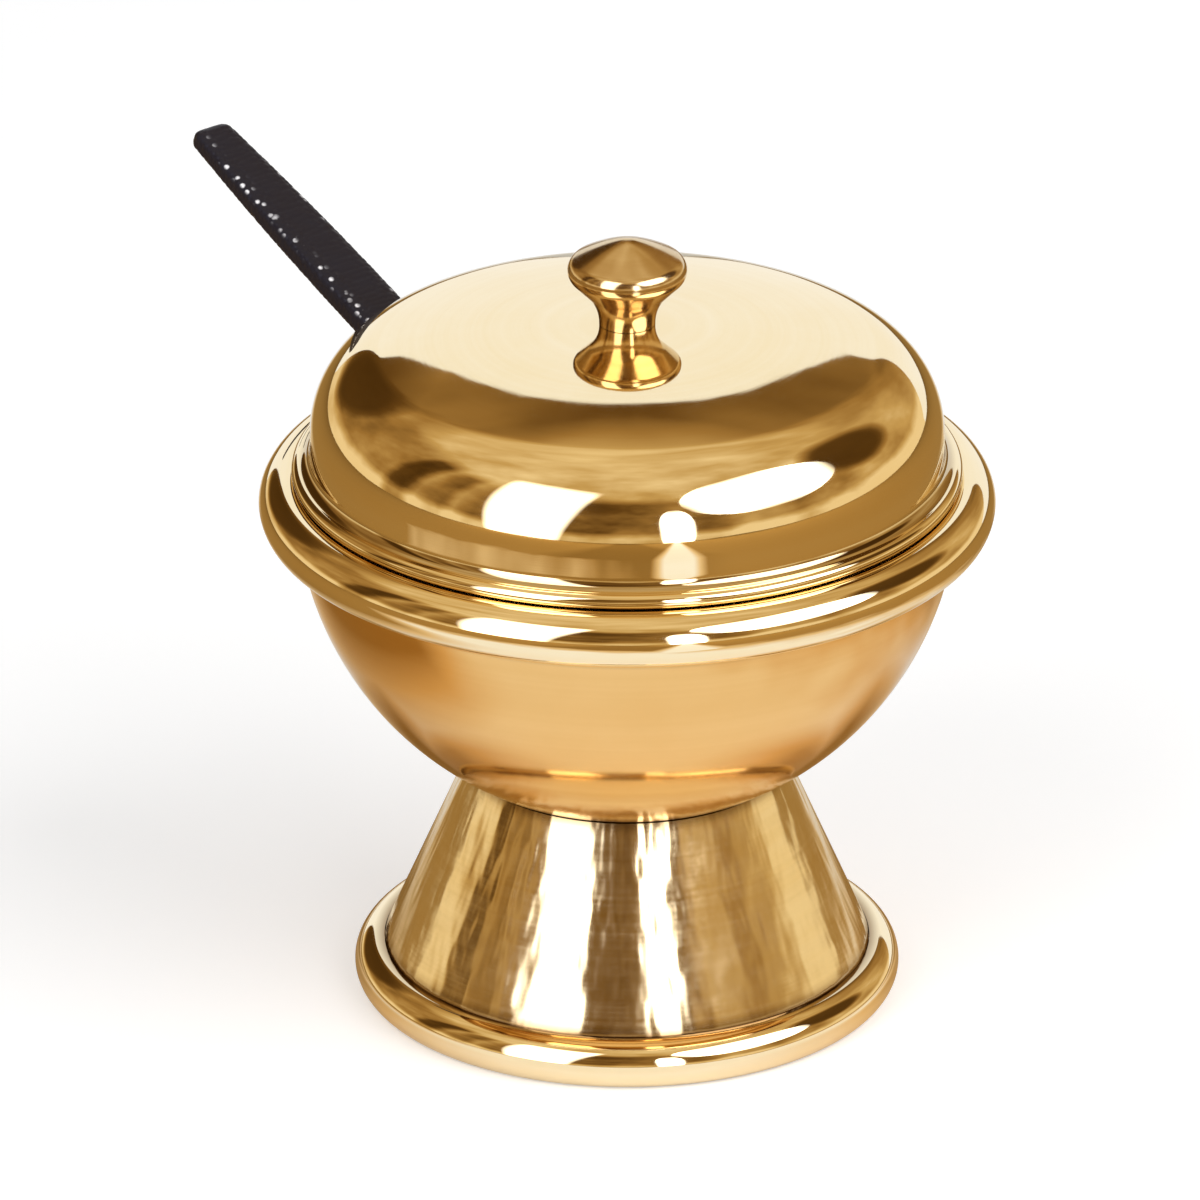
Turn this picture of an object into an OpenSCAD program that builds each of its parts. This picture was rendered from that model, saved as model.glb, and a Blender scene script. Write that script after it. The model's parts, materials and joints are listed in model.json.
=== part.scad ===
// Incense boat: a spun brass bowl on a flared foot, with a domed lid, a turned knob and a
// black-handled spoon that lies in the bowl and leaves through a notch in the lid.
// Millimetres, +Z up. The origin is the centre of the foot's underside.

/* [Foot] */
// Diameter of the foot ring along the middle of its bead
foot_ring_d = 51.4; // [46:0.2:58]
// Thickness of the bead round the foot
foot_bead_d = 5.2; // [4.4:0.1:6]
// Depth of the flat turned under the foot ring
foot_flat = 0.4; // [0.2:0.05:0.8]
// How far the cone's skirt stands inside the middle of the bead
skirt_inset = 0.5; // [0.2:0.1:0.9]
// Width of the ledge left bare inside the skirt
ledge_bare = 0.5; // [0.2:0.1:1.2]
// Height of the ledge that carries the cone
ledge_h = 3.2; // [2.6:0.1:3.8]
// Thickness of the cone's sheet
cone_wall = 1.0; // [0.7:0.1:1.4]
// Diameter of the cone's top edge, just under the bowl
cone_top_d = 33; // [26:0.5:38]
// Thickness of the dished plate inside the cone that carries the bowl
cup_wall = 1.0; // [0.7:0.1:1.4]

/* [Bowl] */
// Outside diameter of the bowl
bowl_d = 68.4; // [62:0.2:76]
// Thickness of the bowl's sheet
bowl_wall = 1.2; // [0.9:0.1:1.6]
// Height of the bowl's centre above the table
bowl_h = 55; // [52:0.2:62]
// Thickness of the bead round the mouth
rim_bead_d = 5.8; // [5:0.1:6.4]
// How far the middle of the bead stands out from the bowl's side
rim_proud = 0.9; // [0.6:0.1:1.4]
// How far the middle of the bead lies below the bowl's centre
rim_drop = 0.8; // [0:0.1:1.6]

/* [Lid] */
// Height of the dome's top above the middle of the lid's rolled edge
lid_h = 16.3; // [15.1:0.2:20.9]
// Radius of the dome's crown
crown_r = 110; // [80:1:140]
// Radius of the dome's shoulder
shoulder_r = 9.4; // [7:0.1:11]
// Thickness of the lid's sheet
lid_wall = 0.9; // [0.7:0.1:1.2]
// Thickness of the lid's rolled edge
edge_d = 1.6; // [1.3:0.1:2.2]
// How far the rolled edge sits inside the middle of the mouth's bead
edge_inset = 1.3; // [1:0.1:1.8]
// How far the rolled edge stands out from the lid's side
edge_proud = 1.1; // [0.8:0.1:1.4]
// Radius of the flare between the lid's side and its rolled edge
flare_r = 1.2; // [0.9:0.1:1.6]
// Thickness of the ring inside the lid that keeps it centred
bezel_wall = 1.0; // [0.7:0.1:1.4]
// How far that ring reaches down below the middle of the rolled edge
bezel_drop = 4.6; // [3:0.1:7]
// Height of that ring left above the spoon's notch
bezel_bridge = 1.2; // [0.8:0.1:2]

/* [Knob] */
// Diameter of the knob's head
knob_d = 12.3; // [10:0.1:15]
// Height of the knob above the lid
knob_h = 9.3; // [8.4:0.1:12]
// Diameter of the knob's neck
neck_d = 5.8; // [4.6:0.1:7]
// Height of the head's widest line above the lid
head_h = 5.8; // [5.4:0.1:6.2]
// Radius of the hollow curve that the neck swells in
neck_curve = 5.2; // [4.6:0.1:5.6]
// Radius of the round edges above and below the head's band
brow_r = 0.9; // [0.6:0.1:1.2]
// Height of the straight band between those edges
band_h = 1.0; // [0.6:0.1:1.4]
// Diameter of the threaded stud under the knob
stud_d = 3; // [2.5:0.5:4]

/* [Spoon] */
// Direction in which the spoon leaves the bowl, anticlockwise from +X
spoon_az = 129.5; // [100:0.5:160]
// Slope of the spoon
spoon_tilt = 22; // [16:0.5:26]
// Diameter of the spoon's shank
shank_d = 2.8; // [2.2:0.1:3.4]
// Length of the spoon outside the middle of the bead
spoon_reach = 37.2; // [30:0.2:46]
// Distance from the middle of the bead to the start of the grip
grip_start = 3.5; // [3:0.5:7]
// Width of the grip at its start
grip_w = 6.4; // [5.4:0.1:7.4]
// Width of the grip halfway along
mid_w = 6.2; // [5.4:0.1:7]
// Thickness of the grip at its start
grip_t = 2.9; // [2.4:0.1:4]
// Width of the grip at its tip
tip_w = 4.5; // [3.6:0.1:5.4]
// Thickness of the grip at its tip
tip_t = 2.2; // [1.8:0.1:2.6]
// Radius of the grip's rounded edges
grip_edge = 0.8; // [0.6:0.1:1]
// Diameter of the tang inside the grip
tang_d = 1.5; // [1:0.1:1.8]
// Length of the tang inside the grip
tang_l = 14; // [8:0.5:20]
// Diameter of the spoon's dish
dish_d = 18; // [14:0.2:20]
// Depth of the dish
dish_depth = 4.4; // [3.4:0.1:5.4]
// Thickness of the dish's sheet
dish_wall = 0.9; // [0.6:0.1:1.2]
// How far the dish's lip stands above the middle of the shank
dish_rise = 1.0; // [0.6:0.1:1.3]

/* [Fasteners] */
// Diameter of the screw that holds the bowl to the foot
screw_d = 4; // [3:0.5:5]
// Diameter of that screw's head
screw_head_d = 8; // [6:0.5:10]
// Thickness of that screw's head
screw_head_h = 2.2; // [1.6:0.1:3]
// Width of the slot in that head
slot_w = 1.3; // [0.8:0.1:1.6]
// Depth of that slot
slot_h = 1.1; // [0.6:0.1:1.3]
// Width of the foot nut across its flats
foot_nut_af = 7; // [6:0.5:9]
// Thickness of the foot nut
foot_nut_h = 3.2; // [2.4:0.1:4]
// Diameter of the foot washer
foot_washer_d = 10; // [8:0.5:13]
// Width of the knob nut across its flats
knob_nut_af = 5.5; // [5:0.5:8]
// Thickness of the knob nut
knob_nut_h = 2.4; // [1.8:0.1:3.2]
// Diameter of the knob washer
knob_washer_d = 7; // [6:0.5:10]
// Thickness of both washers
washer_t = 0.6; // [0.4:0.1:1]
// How far a stud stands out past its nut
stud_end = 1; // [0.4:0.1:2]

/* [Clearances] */
// Film of solder between soldered pieces
solder_gap = 0.05; // [0.03:0.01:0.1]
// Gap between the bowl and the cup of the foot
cup_gap = 0.1; // [0.05:0.01:0.2]
// Gap between the lid and the bead that it rests on
seat_gap = 0.1; // [0.05:0.01:0.3]
// Gap between the spoon and the bowl where it rests
spoon_gap = 0.15; // [0.1:0.05:0.4]
// Gap round the shank in the lid's notch
notch_gap = 1.4; // [1:0.1:2]
// Play between a screw and its hole
hole_play = 0.15; // [0.1:0.05:0.3]
// Play between a screw and its nut
thread_play = 0.05; // [0.03:0.01:0.08]

/* [Hidden] */
$fn = 96;
reach = 400;

// Foot ring and cone
foot_R = foot_ring_d / 2;
foot_r = foot_bead_d / 2;
foot_z = foot_r - foot_flat;
skirt_R = foot_R - skirt_inset;
skirt_top = foot_z + foot_r;

// Bowl and its rim
bowl_R = bowl_d / 2;
bowl_in = bowl_R - bowl_wall;
rim_R = bowl_R + rim_proud;
rim_r = rim_bead_d / 2;
rim_z = bowl_h - rim_drop;

// The cone's slope, from the skirt up to its edge under the bowl
cup_R = bowl_R + cup_gap;
cone_top_R = cone_top_d / 2;
cone_top_z = bowl_h - sqrt(cup_R * cup_R - cone_top_R * cone_top_R);
cone_slope = (skirt_R - cone_top_R) / (cone_top_z - skirt_top);
cone_across = cone_wall * sqrt(1 + cone_slope * cone_slope);
skirt_in = skirt_R - cone_across;
foot_bore_R = skirt_in - ledge_bare;
cup_under = bowl_h - cup_R - cup_wall;

// Screw through the bottom of the bowl
screw_R = screw_d / 2;
floor_R = screw_head_d / 2;
floor_z = bowl_h - sqrt(bowl_in * bowl_in - floor_R * floor_R);
screw_end = cup_under - washer_t - foot_nut_h - stud_end;

// Lid: the rolled edge rests on the bead, and the dome rises from it
edge_r = edge_d / 2;
edge_R = rim_R - edge_inset;
edge_z = rim_z + sqrt(pow(rim_r + edge_r + seat_gap, 2) - edge_inset * edge_inset);
side_R = edge_R - edge_proud;
side_in = side_R - lid_wall;
apex_z = edge_z + lid_h;
crown_z = apex_z - crown_r;
shoulder_R = side_R - shoulder_r;
shoulder_z = crown_z + sqrt(pow(crown_r - shoulder_r, 2) - shoulder_R * shoulder_R);
crown_lean = asin(shoulder_R / (crown_r - shoulder_r));
flare_R = side_R + flare_r;
flare_z = edge_z + sqrt(pow(flare_r + edge_r, 2) - pow(flare_R - edge_R, 2));
bezel_R = side_in - solder_gap;
bezel_low = edge_z - bezel_drop;
bezel_under = lid_wall + solder_gap;

// Knob: the neck's hollow ends at neck_turn, and the band's upper edge at brow_top, near the slope of the cap
neck_R = neck_d / 2;
head_R = knob_d / 2;
stud_R = stud_d / 2;
neck_turn = 128;
cap_power = 1.4;
brow_R = head_R - brow_r;
band_low = head_h - band_h / 2;
band_high = head_h + band_h / 2;
brow_top = 90 - atan(cap_power * (knob_h - band_high - brow_r) / brow_R);
cap_R = brow_R + brow_r * cos(brow_top);
cap_z = band_high + brow_r * sin(brow_top);
cap_steps = 12;
knob_washer_top = crown_z + sqrt(pow(crown_r - lid_wall, 2) - pow(knob_washer_d / 2, 2));
stud_low = knob_washer_top - washer_t - knob_nut_h - stud_end;

// Spoon: its axis crosses the bead at spoon_z, and the dish's lip meets the far side of the bowl
shank_R = shank_d / 2;
spoon_z = rim_z + (rim_r + spoon_gap + shank_R) / cos(spoon_tilt);
lip_a = rim_R - dish_rise * sin(spoon_tilt);
lip_b = spoon_z + dish_rise * cos(spoon_tilt) - bowl_h;
lip_p = lip_a * cos(spoon_tilt) + lip_b * sin(spoon_tilt);
lip_q = lip_a * lip_a + lip_b * lip_b - pow(bowl_in - spoon_gap, 2);
lip_far = -lip_p - sqrt(lip_p * lip_p - lip_q);
dish_R = dish_d / 2;
dish_out = (dish_R * dish_R + dish_depth * dish_depth) / (2 * dish_depth);
dish_u = lip_far + dish_R;
dish_w = dish_rise + dish_out - dish_depth;
notch_R = shank_R + notch_gap;
grip_mid = (grip_start + spoon_reach) / 2;
mid_t = (grip_t + tip_t) / 2;
bezel_top = spoon_z + notch_R + bezel_bridge;

// Points along an arc in the section plane, from angle a0 to a1
function arc(cx, cz, r, a0, a1, steps = 12) =
    [for (i = [0:steps]) let (a = a0 + (a1 - a0) * i / steps) [cx + r * cos(a), cz + r * sin(a)]];

// Turns a section, drawn with radius along X and height along Y, about the Z axis
module turned() rotate_extrude() children();

// The section plane within a radius of the axis, or above a height, and a round section in it
module inside_of(r) translate([0, -reach]) square([r, 2 * reach]);
module above(z) translate([0, z]) square([reach, reach]);
module disc_at(r, z, radius) translate([r, z]) circle(r = radius);

// A sphere's section that stays on the +X side of the axis
module half_disc(z, radius) intersection() {
    disc_at(0, z, radius);
    inside_of(reach);
}

// Half-round ring under the foot, with a flat underside, a bore and a ledge for the cone
module foot_bead() color("goldenrod") turned() difference() {
    union() {
        disc_at(foot_R, foot_z, foot_r);
        translate([foot_bore_R, 0]) square([foot_R - foot_bore_R, ledge_h]);
    }
    translate([0, -reach]) square([reach, reach]);
    inside_of(foot_bore_R);
    intersection() {
        inside_of(skirt_R + solder_gap);
        above(ledge_h);
    }
}

// The hollow inside the cone's sheet, drawn in by a gap
module cone_inside(gap) polygon([[0, 0], [skirt_in - gap, 0], [skirt_in - gap, skirt_top],
    [skirt_in - gap - cone_slope * (cone_top_z - skirt_top), cone_top_z], [0, cone_top_z]]);

// Flared sheet foot: a short skirt on the ring and a straight cone up to the bowl
module foot_cone() color("gold") turned() difference() {
    polygon([[0, ledge_h], [skirt_R, ledge_h], [skirt_R, skirt_top],
        [cone_top_R, cone_top_z], [0, cone_top_z]]);
    half_disc(bowl_h, cup_R);
    cone_inside(0);
}

// Dished plate soldered inside the top of the cone, on which the bowl is screwed down
module foot_cup() color("goldenrod") turned() difference() {
    intersection() {
        cone_inside(solder_gap);
        half_disc(bowl_h, cup_R + cup_wall);
    }
    half_disc(bowl_h, cup_R);
    inside_of(screw_R + hole_play);
}

// Hemispherical bowl, with its own share of the rounded mouth and a small flat floor for the screw
module bowl_shell() color("goldenrod") turned() difference() {
    union() {
        difference() {
            half_disc(bowl_h, bowl_R);
            above(rim_z);
        }
        intersection() {
            disc_at(rim_R, rim_z, rim_r);
            inside_of(bowl_R);
        }
        translate([bowl_in, bowl_h - rim_r]) square([bowl_wall, rim_r - rim_drop]);
    }
    intersection() {
        half_disc(bowl_h, bowl_in);
        above(floor_z);
    }
    inside_of(screw_R + hole_play);
}

// Ring soldered round the bowl's mouth
module rim_bead() color("gold") turned() difference() {
    disc_at(rim_R, rim_z, rim_r);
    inside_of(bowl_R + solder_gap);
}

// Slotted screw whose head lies on the bowl's floor
module foot_screw() color("darkgoldenrod") difference() {
    union() {
        translate([0, 0, floor_z]) cylinder(h = screw_head_h, r = floor_R);
        translate([0, 0, screw_end]) cylinder(h = floor_z - screw_end, r = screw_R);
    }
    translate([-screw_head_d, -slot_w / 2, floor_z + screw_head_h - slot_h])
        cube([2 * screw_head_d, slot_w, screw_head_h]);
}

// Flat ring, or hexagon with a bore, from a top face downwards
module washer(top, radius, bore) turned() translate([bore, top - washer_t]) square([radius - bore, washer_t]);
module hex_nut(top, across_flats, height, bore) translate([0, 0, top - height]) difference() {
    cylinder(h = height, r = across_flats / sqrt(3), $fn = 6);
    cylinder(h = reach, r = bore, center = true);
}

module foot_washer() color("darkgoldenrod") washer(cup_under, foot_washer_d / 2, screw_R + hole_play);
module foot_nut() color("darkgoldenrod")
    hex_nut(cup_under - washer_t, foot_nut_af, foot_nut_h, screw_R + thread_play);

// The dome's section: crown, shoulder and side, all set in from the outside by depth
module dome(depth) intersection() {
    half_disc(crown_z, crown_r - depth);
    above(edge_z);
    union() {
        translate([0, edge_z]) square([side_R - depth, shoulder_z - edge_z]);
        disc_at(shoulder_R, shoulder_z, shoulder_r - depth);
        polygon([[0, edge_z], [shoulder_R, edge_z],
            [shoulder_R + (shoulder_r - depth) * sin(crown_lean),
                shoulder_z + (shoulder_r - depth) * cos(crown_lean)],
            [0, apex_z + shoulder_r]]);
    }
}

// Slot for the spoon's shank, open at the bottom and round at the top
module notch_cut() rotate([0, 0, spoon_az]) translate([shoulder_R, 0, spoon_z]) {
    rotate([0, 90, 0]) cylinder(h = bowl_R, r = notch_R);
    translate([0, -notch_R, -bowl_R]) cube([bowl_R, 2 * notch_R, bowl_R]);
}

// Domed lid with a flared, rolled edge
module lid_shell() color("gold") difference() {
    turned() difference() {
        union() {
            dome(0);
            disc_at(edge_R, edge_z, edge_r);
            difference() {
                polygon([[side_in, edge_z], [edge_R, edge_z], [flare_R, flare_z], [side_in, flare_z]]);
                disc_at(flare_R, flare_z, flare_r);
            }
        }
        dome(lid_wall);
        inside_of(stud_R + hole_play);
    }
    notch_cut();
}

// Ring inside the lid that drops into the mouth and keeps the lid centred
module lid_bezel() color("goldenrod") difference() {
    turned() intersection() {
        translate([bezel_R - bezel_wall, bezel_low]) square([bezel_wall, bezel_top - bezel_low]);
        union() {
            dome(bezel_under);
            translate([0, bezel_low]) square([bezel_R, shoulder_z - bezel_low]);
        }
    }
    notch_cut();
}

// Turned knob: a waisted neck that swells into a banded, pointed head, with a stud through the lid
module lid_knob() color("gold") {
    translate([0, 0, apex_z]) turned() polygon(concat(
        [[0, 0]],
        arc(neck_R + neck_curve, 0, neck_curve, 180, neck_turn),
        arc(brow_R, band_low, brow_r, neck_turn - 180, 0, 8),
        arc(brow_R, band_high, brow_r, 0, brow_top, 8),
        [for (i = [1:cap_steps]) let (t = 1 - i / cap_steps)
            [cap_R * t, knob_h - (knob_h - cap_z) * pow(t, cap_power)]]));
    translate([0, 0, stud_low]) cylinder(h = apex_z - stud_low, r = stud_R);
}

module knob_washer() color("darkgoldenrod") washer(knob_washer_top, knob_washer_d / 2, stud_R + hole_play);
module knob_nut() color("darkgoldenrod")
    hex_nut(knob_washer_top - washer_t, knob_nut_af, knob_nut_h, stud_R + thread_play);

// Places the spoon: its +X runs outwards and up along the shank, from where it crosses the bead
module on_spoon() rotate([0, 0, spoon_az]) translate([rim_R, 0, spoon_z])
    rotate([0, -spoon_tilt, 0]) children();

// Shallow round dish, a slice of a hollow sphere
module spoon_dish() color("gold") on_spoon() translate([dish_u, 0, dish_w]) difference() {
    sphere(r = dish_out);
    sphere(r = dish_out - dish_wall);
    translate([-reach / 2, -reach / 2, dish_rise - dish_w]) cube(reach);
}

// Round shank from the dish to the grip, turned down to a tang inside the grip
module spoon_shank() color("gold") on_spoon() difference() {
    union() {
        translate([dish_u, 0, 0]) rotate([0, 90, 0]) cylinder(h = grip_start - dish_u, r = shank_R);
        translate([grip_start, 0, 0]) rotate([0, 90, 0]) cylinder(h = tang_l, r = tang_d / 2);
    }
    translate([dish_u, 0, dish_w]) sphere(r = dish_out + solder_gap);
}

// Flat grip with rounded edges, which narrows mostly past its middle, bored for the tang
module spoon_grip() color("dimgray") on_spoon() difference() {
    hull() {
        for (cut = [[grip_start, grip_w, grip_t], [grip_mid, mid_w, mid_t]], side = [-1, 1], face = [-1, 1])
            translate([cut[0], side * (cut[1] / 2 - grip_edge), face * (cut[2] / 2 - grip_edge)])
                rotate([0, 90, 0]) cylinder(h = grip_edge, r = grip_edge, $fn = 32);
        for (side = [-1, 1])
            translate([spoon_reach - tip_t / 2, side * (tip_w - tip_t) / 2, 0])
                sphere(r = tip_t / 2, $fn = 32);
    }
    translate([grip_start - grip_edge, 0, 0]) rotate([0, 90, 0])
        cylinder(h = tang_l + 2 * grip_edge, r = tang_d / 2 + thread_play);
}

foot_bead();
foot_cone();
foot_cup();
bowl_shell();
rim_bead();
foot_screw();
foot_washer();
foot_nut();
lid_shell();
lid_bezel();
lid_knob();
knob_washer();
knob_nut();
spoon_dish();
spoon_shank();
spoon_grip();
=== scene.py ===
"""Looks of an incense boat: a spun brass pot with a domed lid, a turned knob and a black-handled spoon.

Metres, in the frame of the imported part: +Z up, the foot's underside at z = 0, the viewer towards -Y.
"""
import json
import math

import bmesh
import bpy
import numpy as np
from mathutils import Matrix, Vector


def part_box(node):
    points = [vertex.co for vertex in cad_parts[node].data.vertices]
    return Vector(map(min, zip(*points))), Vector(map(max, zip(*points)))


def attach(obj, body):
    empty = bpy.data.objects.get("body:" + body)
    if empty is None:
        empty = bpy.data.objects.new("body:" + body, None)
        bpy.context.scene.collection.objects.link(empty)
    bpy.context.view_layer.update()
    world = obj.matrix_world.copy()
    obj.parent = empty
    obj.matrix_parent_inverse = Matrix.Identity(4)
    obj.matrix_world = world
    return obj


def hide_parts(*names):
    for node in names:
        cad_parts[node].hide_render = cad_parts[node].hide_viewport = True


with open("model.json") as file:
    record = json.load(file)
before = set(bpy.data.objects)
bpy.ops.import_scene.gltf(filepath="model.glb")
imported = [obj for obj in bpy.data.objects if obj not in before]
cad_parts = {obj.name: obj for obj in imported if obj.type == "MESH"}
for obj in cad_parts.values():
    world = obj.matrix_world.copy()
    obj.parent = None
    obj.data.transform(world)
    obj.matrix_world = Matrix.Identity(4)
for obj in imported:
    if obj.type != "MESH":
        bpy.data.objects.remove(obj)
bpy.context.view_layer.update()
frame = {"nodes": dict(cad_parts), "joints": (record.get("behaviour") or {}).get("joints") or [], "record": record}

# Sheet thicknesses and small curves that the frame's boxes don't give
FOOT_BEAD_RADIUS = 0.0026
FOOT_FLAT = 0.0004
CONE_WALL = 0.001
CONE_TOP_RADIUS = 0.0165
CUP_GAP = 0.0001
SOLDER_GAP = 0.00005
BOWL_WALL = 0.0012
RIM_PROUD = 0.0009
RIM_DROP = 0.0008
SCREW_HOLE = 0.00215
SCREW_HEAD = 0.004
EDGE_RADIUS = 0.0008
EDGE_PROUD = 0.0011
FLARE_RADIUS = 0.0012
LID_WALL = 0.0009
CROWN_RADIUS = 0.110
SHOULDER_RADIUS = 0.0094
STUD_HOLE = 0.00165
KNOB_HEIGHT = 0.0093
NECK_RADIUS = 0.0029
NECK_CURVE = 0.0046
HEAD_HEIGHT = 0.00585
BROW_RADIUS = 0.00145
BAND_HEIGHT = 0.0001
CAP_POWER = 1.4
STUD_RADIUS = 0.0015
SHANK_RADIUS = 0.0014
SHANK_IN_GRIP = 0.001
SPOON_GAP = 0.00015
NOTCH_GAP = 0.0014
GRIP_START = 0.0035
GRIP_END = 0.03705
GRIP_WIDTH = 0.0064
MID_WIDTH = 0.0062
GRIP_THICKNESS = 0.0029
TIP_WIDTH = 0.0045
TIP_THICKNESS = 0.0022
GRIP_LEAD = 0.0006
GRIP_SQUARENESS = 0.45
DISH_RADIUS = 0.009
DISH_DEPTH = 0.0044
DISH_WALL = 0.0009
DISH_RISE = 0.001

# The grip's pebbles: size and depth, how far their middles stray within a cell, and how wide a dome is
PEBBLE_SIZE = 0.0007
PEBBLE_DEPTH = 0.00004
PEBBLE_SEED = 11
PEBBLE_STRAY = (0.15, 0.85)
PEBBLE_REACH = 0.6

# The grip's edges with painted glints, as (turn, spread, strength), with turn and spread in degrees round its
# section
NEAR_EDGE = (46, 15, 1.4)
FAR_EDGE = (137, 9, 0.6)

# How finely surfaces are divided, and the angles in degrees from which a corner stays sharp
TURN_STEPS = 288
NOTCH_STEPS = 49
DISH_STEPS = 144
SHANK_STEPS = 48
GRIP_STEPS = 190
GRIP_STATIONS = 400
MERGE_DISTANCE = 1e-7
LEAST_EDGE = 1e-8
SHARP_ANGLE = 35
GRIP_SHARP_ANGLE = 60

# Places and outside sizes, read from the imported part
mounts = {mount["name"]: mount for mount in frame["record"]["mounts"]}
joints = {joint["name"]: joint for joint in frame["joints"]}
foot_bore = mounts["foot_bore"]["dims"]["r_mm"] / 1000
ledge_z = mounts["foot_bore"]["dims"]["length_mm"] / 1000
foot_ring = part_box("foot_bead")[1].x - FOOT_BEAD_RADIUS
foot_z = FOOT_BEAD_RADIUS - FOOT_FLAT
skirt_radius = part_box("foot_cone")[1].x
skirt_top = foot_z + FOOT_BEAD_RADIUS
rim_low, rim_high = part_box("rim_bead")
rim_z = (rim_low.z + rim_high.z) / 2
rim_thick = (rim_high.z - rim_low.z) / 2
rim_ring = min(rim_high.x, rim_high.y, -rim_low.x, -rim_low.y) - rim_thick
bowl_radius = rim_ring - RIM_PROUD
bowl_inside = bowl_radius - BOWL_WALL
bowl_z = rim_z + RIM_DROP
lid_low, lid_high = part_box("lid_shell")
edge_ring = lid_high.x - EDGE_RADIUS
edge_z = lid_low.z + EDGE_RADIUS
side_radius = edge_ring - EDGE_PROUD
inner_side = side_radius - LID_WALL
knob_low, knob_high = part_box("lid_knob")
head_radius = knob_high.x
apex_z = knob_high.z - KNOB_HEIGHT
crown_z = apex_z - CROWN_RADIUS
shoulder_ring = side_radius - SHOULDER_RADIUS
shoulder_z = crown_z + math.sqrt((CROWN_RADIUS - SHOULDER_RADIUS) ** 2 - shoulder_ring ** 2)
crown_lean = math.degrees(math.asin(shoulder_ring / (CROWN_RADIUS - SHOULDER_RADIUS)))
flare_ring = side_radius + FLARE_RADIUS
flare_z = edge_z + math.sqrt((FLARE_RADIUS + EDGE_RADIUS) ** 2 - (flare_ring - edge_ring) ** 2)

# The spoon's own axes: along the shank outwards, across it, and up out of the dish
along = np.array(joints["spoon_draw"]["axis"], float)
along /= np.linalg.norm(along)
spoon_turn = math.atan2(along[1], along[0])
spoon_tilt = math.asin(along[2])
across = np.array([-math.sin(spoon_turn), math.cos(spoon_turn), 0.0])
upward = np.cross(along, across)
spoon_z = rim_z + (rim_thick + SPOON_GAP + SHANK_RADIUS) / math.cos(spoon_tilt)
spoon_origin = np.array([rim_ring * math.cos(spoon_turn), rim_ring * math.sin(spoon_turn), spoon_z])
notch_half = SHANK_RADIUS + NOTCH_GAP

# The ball that the spoon's dish is a slice of, its centre's height, and the dish's place along the shank
dish_ball = (DISH_RADIUS ** 2 + DISH_DEPTH ** 2) / (2 * DISH_DEPTH)
dish_up = DISH_RISE + dish_ball - DISH_DEPTH
dish_low, dish_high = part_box("spoon_dish")
dish_along = float(((np.array(dish_low) + np.array(dish_high)) / 2 - spoon_origin) @ along)

# Creases darkened by tarnish and painted shade, as (radius, height) in the section
CREASES = np.array([
    (skirt_radius, skirt_top),
    (CONE_TOP_RADIUS, bowl_z - math.sqrt(bowl_radius ** 2 - CONE_TOP_RADIUS ** 2)),
    (bowl_radius, rim_z - rim_thick),
    (side_radius, edge_z + EDGE_RADIUS)])
CREASE_REACH = 0.0012


# Helpers for surfaces

def arc(ring, height, radius, start, stop, count):
    """A count of points of a section along a circle about (ring, height), between two angles in degrees."""
    angle = np.radians(np.linspace(start, stop, count))
    return np.stack([ring + radius * np.cos(angle), height + radius * np.sin(angle)], axis=1)


def line(start, stop, count):
    """A count of points of a section along a straight line, both ends included."""
    share = np.linspace(0, 1, count)[:, None]
    return np.array(start) * (1 - share) + np.array(stop) * share


def grid_faces(rows, columns, wrap_columns):
    """Quads of a grid whose rows close on themselves, and whose columns do too where asked."""
    row = np.arange(rows)[:, None]
    column = np.arange(columns if wrap_columns else columns - 1)[None, :]
    row_next = (row + 1) % rows
    column_next = (column + 1) % columns
    corners = [row * columns + column, row_next * columns + column,
               row_next * columns + column_next, row * columns + column_next]
    return np.stack([np.broadcast_to(c, (rows, column.size)) for c in corners], axis=-1).reshape(-1, 4)


def make_piece(name, points, faces, body, nodes, material, tarnish_shade_glints, sharp=SHARP_ANGLE):
    """A mesh piece from whole arrays of points and quads: doubles merged, smooth but for sharp corners.

    Each point carries a value from 0 to 1: tarnish and painted shade in creases on brass, painted glints on the
    grip's pebbles.
    """
    mesh = bpy.data.meshes.new(name)
    mesh.from_pydata(points.reshape(-1, 3), [], faces)
    spread = np.broadcast_to(tarnish_shade_glints, points.shape[:2]).astype(np.float32)
    mesh.attributes.new("tarnish_shade_glints", "FLOAT", "POINT").data.foreach_set("value", spread.ravel())
    work = bmesh.new()
    work.from_mesh(mesh)
    bmesh.ops.remove_doubles(work, verts=work.verts, dist=MERGE_DISTANCE)
    bmesh.ops.dissolve_degenerate(work, edges=work.edges, dist=LEAST_EDGE)
    work.to_mesh(mesh)
    work.free()
    mesh.shade_smooth()
    mesh.set_sharp_from_angle(angle=math.radians(sharp))
    mesh.materials.append(material)
    piece = bpy.data.objects.new(name, mesh)
    bpy.context.scene.collection.objects.link(piece)
    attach(piece, body)
    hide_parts(*nodes)


def turned(section, turn):
    """Carries a section of (radius, height) points round Z: x = r cos t, y = r sin t, z = height."""
    radius, height = section[:, 0], section[:, 1]
    return np.stack([radius * np.cos(turn)[:, None], radius * np.sin(turn)[:, None],
                     np.broadcast_to(height, (len(turn), len(height)))], axis=-1)


def full_turn(steps=TURN_STEPS):
    """Angles once round, without the last, which is the first again."""
    return np.linspace(0, 2 * np.pi, steps, endpoint=False)


def crease_tarnish_and_shade(section):
    """Tarnish and painted shade along a section: strongest where it nears a crease, fading out over CREASE_REACH.
    """
    away = np.hypot(section[:, :1] - CREASES[:, 0], section[:, 1:] - CREASES[:, 1]).min(axis=1)
    return np.clip(1 - away / CREASE_REACH, 0, 1)


def turned_ring(name, section, body, nodes, material):
    """A piece whose closed section is carried once round Z and never meets the axis."""
    turn = full_turn()
    make_piece(name, turned(section, turn), grid_faces(len(turn), len(section), True),
               body, nodes, material, crease_tarnish_and_shade(section))


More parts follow.
